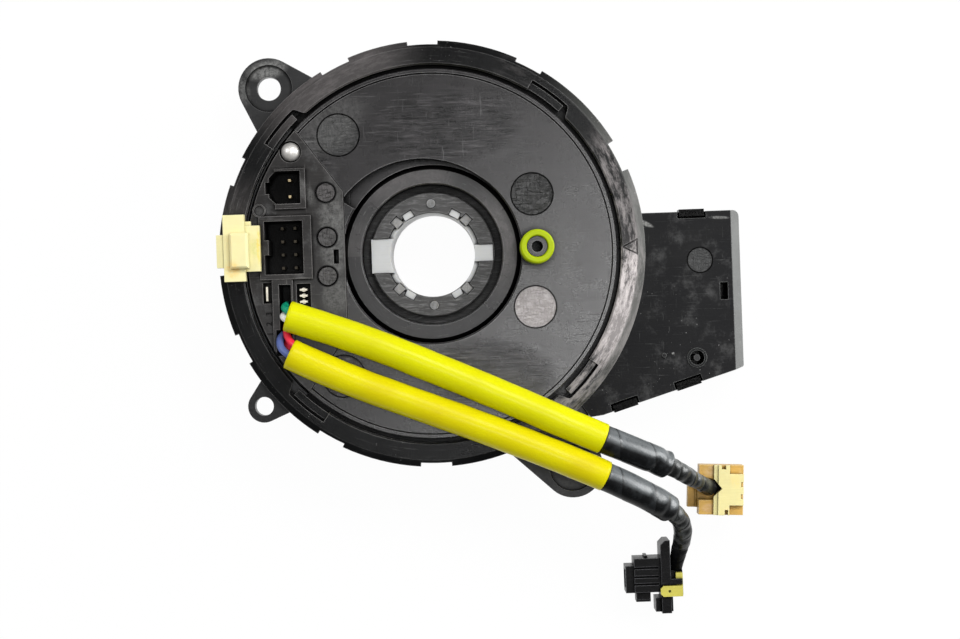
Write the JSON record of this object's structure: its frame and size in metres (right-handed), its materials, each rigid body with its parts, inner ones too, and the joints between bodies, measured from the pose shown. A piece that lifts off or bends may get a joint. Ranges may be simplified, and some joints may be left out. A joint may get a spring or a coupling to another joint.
{
  "type": "steering clock spring",
  "caption": "Round black steering clock spring: rotor disc with connector block and drive pin in a ring-topped case with ears and connector wing, two yellow-sleeved leads with plugs.",
  "frame": {"origin": "on the steering shaft's axis, in the plane of the mounting ears' rear faces", "axes": "+Z along the shaft towards the steering wheel, +X towards the connector wing, +Y across it"},
  "size_m": [0.1322, 0.1478, 0.039],
  "materials": {
    "black_housing": "fine moulded grain, satin",
    "black_disc": "smooth moulded, semi-gloss, lightly scuffed",
    "black_block": "smooth moulded, semi-gloss",
    "black_hub": "worn matt",
    "flat_cable_film": "clear film over copper strips",
    "white_cam": "milky natural plastic",
    "lime_sleeve": "smooth",
    "pale_lock": "smooth satin",
    "yellow_sleeve": "smooth glossy tube",
    "black_tape": "stretched vinyl tape",
    "grey_wrap": "wound tape",
    "wire_green": "smooth",
    "wire_white": "smooth",
    "wire_red": "smooth",
    "wire_blue": "smooth",
    "ivory_body": "smooth satin",
    "ivory_lid": "smooth satin",
    "black_plug": "smooth satin",
    "yellow_lock": "smooth",
    "steel": "bright, slightly worn",
    "tin_pins": "tinned"
  },
  "bodies": {
    "stator": {"case_body": "black_housing", "top_ring": "black_housing", "rear_cover": "black_housing", "wing_lid": "black_housing", "terminal_carrier": "black_block", "wing_pins_long": "tin_pins", "wing_pins_short": "tin_pins", "flat_cable": "flat_cable_film"},
    "rotor": {"rotor_disc": "black_disc", "connector_block": "black_block", "block_screw": "steel", "small_socket_pins": "tin_pins", "large_socket_pins": "tin_pins", "wire_terminals": "steel", "rotor_drum": "black_hub", "hub_plate": "black_hub", "cancel_cam": "white_cam", "drive_pin_sleeve": "lime_sleeve", "inner_cable_end": "black_block", "ivory_plug": "ivory_body", "ivory_lid": "ivory_lid", "black_plug": "black_plug", "upper_bundle": "grey_wrap", "upper_sleeve": "yellow_sleeve", "upper_tape": "black_tape", "lower_bundle": "grey_wrap", "lower_sleeve": "yellow_sleeve", "lower_tape": "black_tape", "wire_green": "wire_green", "wire_white": "wire_white", "wire_red_1": "wire_red", "wire_red_2": "wire_red", "wire_blue": "wire_blue"},
    "transit_lock": {"transit_lock": "pale_lock"},
    "plug_lock": {"plug_lock": "yellow_lock"}
  },
  "joints": [
    {"name": "rotor_turn", "type": "hinge", "parent": "stator", "child": "rotor", "pos_m": [0, 0, 0], "axis": [0, 0, 1], "range_deg": [-900, 900], "deforming": ["flat_cable"]},
    {"name": "lock_pull", "type": "slide", "parent": "rotor", "child": "transit_lock", "axis": [0, 0, 1], "range_m": [0, 0.01]},
    {"name": "plug_lock_push", "type": "slide", "parent": "rotor", "child": "plug_lock", "axis": [-1, 0, 0], "range_m": [0, 0.002]}
  ]
}
